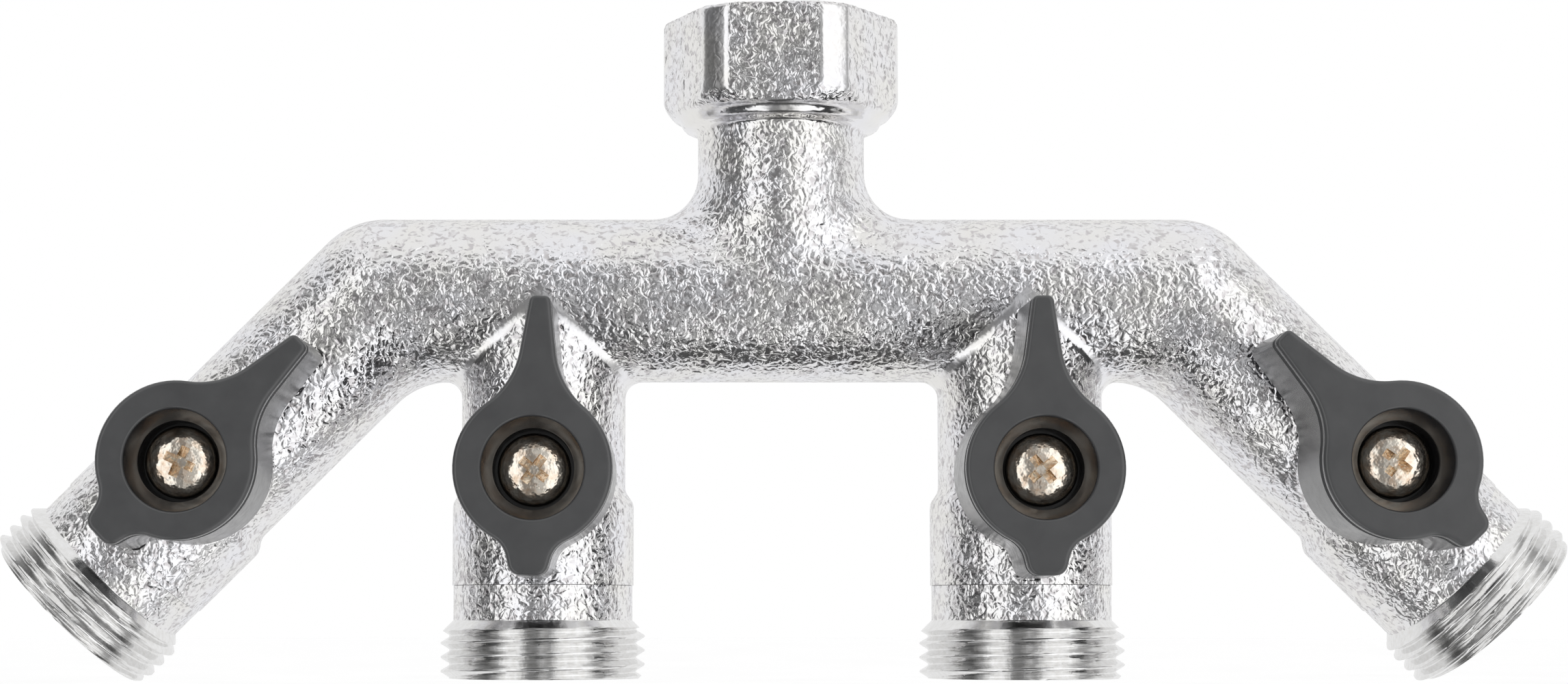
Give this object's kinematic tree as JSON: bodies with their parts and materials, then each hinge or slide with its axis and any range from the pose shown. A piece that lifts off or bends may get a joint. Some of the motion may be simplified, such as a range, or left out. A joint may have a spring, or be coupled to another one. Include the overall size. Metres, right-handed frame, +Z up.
{
  "type": "hose splitter",
  "caption": "Cast metal garden hose splitter with a threaded inlet, a cross tube and threaded ball-valve outlets, each turned by a black pointer lever.",
  "frame": {"origin": "centre of the inlet's mouth, in the plane of its rim", "axes": "+Z up out of the inlet along its axis, X along the cross tube, -Y to the side of the levers"},
  "size_m": [0.2028, 0.0412, 0.0862],
  "materials": {
    "cast_body": "satin chrome plate over a grainy casting, bright on the threads",
    "inlet_washer": "matt",
    "ball": "polished chrome plate",
    "ptfe": "waxy white",
    "retainer": "turned",
    "stem": "turned",
    "oring": "smooth",
    "lever": "satin, fine moulded texture",
    "screw": "bright nickel plate with a warm tint"
  },
  "bodies": {
    "housing": {"manifold_body": "cast_body", "inlet_washer": "inlet_washer", "outer_left_seat_upstream": "ptfe", "outer_left_seat_downstream": "ptfe", "outer_left_retainer": "retainer", "outer_left_thrust_washer": "ptfe", "inner_left_seat_upstream": "ptfe", "inner_left_seat_downstream": "ptfe", "inner_left_retainer": "retainer", "inner_left_thrust_washer": "ptfe", "inner_right_seat_upstream": "ptfe", "inner_right_seat_downstream": "ptfe", "inner_right_retainer": "retainer", "inner_right_thrust_washer": "ptfe", "outer_right_seat_upstream": "ptfe", "outer_right_seat_downstream": "ptfe", "outer_right_retainer": "retainer", "outer_right_thrust_washer": "ptfe"},
    "outer_left_handle": {"outer_left_lever": "lever", "outer_left_screw": "screw", "outer_left_stem": "stem", "outer_left_ball": "ball", "outer_left_oring_lower": "oring", "outer_left_oring_upper": "oring"},
    "inner_left_handle": {"inner_left_lever": "lever", "inner_left_screw": "screw", "inner_left_stem": "stem", "inner_left_ball": "ball", "inner_left_oring_lower": "oring", "inner_left_oring_upper": "oring"},
    "inner_right_handle": {"inner_right_lever": "lever", "inner_right_screw": "screw", "inner_right_stem": "stem", "inner_right_ball": "ball", "inner_right_oring_lower": "oring", "inner_right_oring_upper": "oring"},
    "outer_right_handle": {"outer_right_lever": "lever", "outer_right_screw": "screw", "outer_right_stem": "stem", "outer_right_ball": "ball", "outer_right_oring_lower": "oring", "outer_right_oring_upper": "oring"}
  },
  "joints": [
    {"name": "outer_left_valve", "type": "hinge", "parent": "housing", "child": "outer_left_handle", "pos_m": [-0.07427, 0, -0.05912], "axis": [0, 1, 0], "range_deg": [0, 90]},
    {"name": "inner_left_valve", "type": "hinge", "parent": "housing", "child": "inner_left_handle", "pos_m": [-0.03105, 0, -0.06005], "axis": [0, 1, 0], "range_deg": [0, 90]},
    {"name": "inner_right_valve", "type": "hinge", "parent": "housing", "child": "inner_right_handle", "pos_m": [0.03105, 0, -0.06005], "axis": [0, 1, 0], "range_deg": [0, 90]},
    {"name": "outer_right_valve", "type": "hinge", "parent": "housing", "child": "outer_right_handle", "pos_m": [0.07427, 0, -0.05912], "axis": [0, 1, 0], "range_deg": [0, 90]}
  ]
}
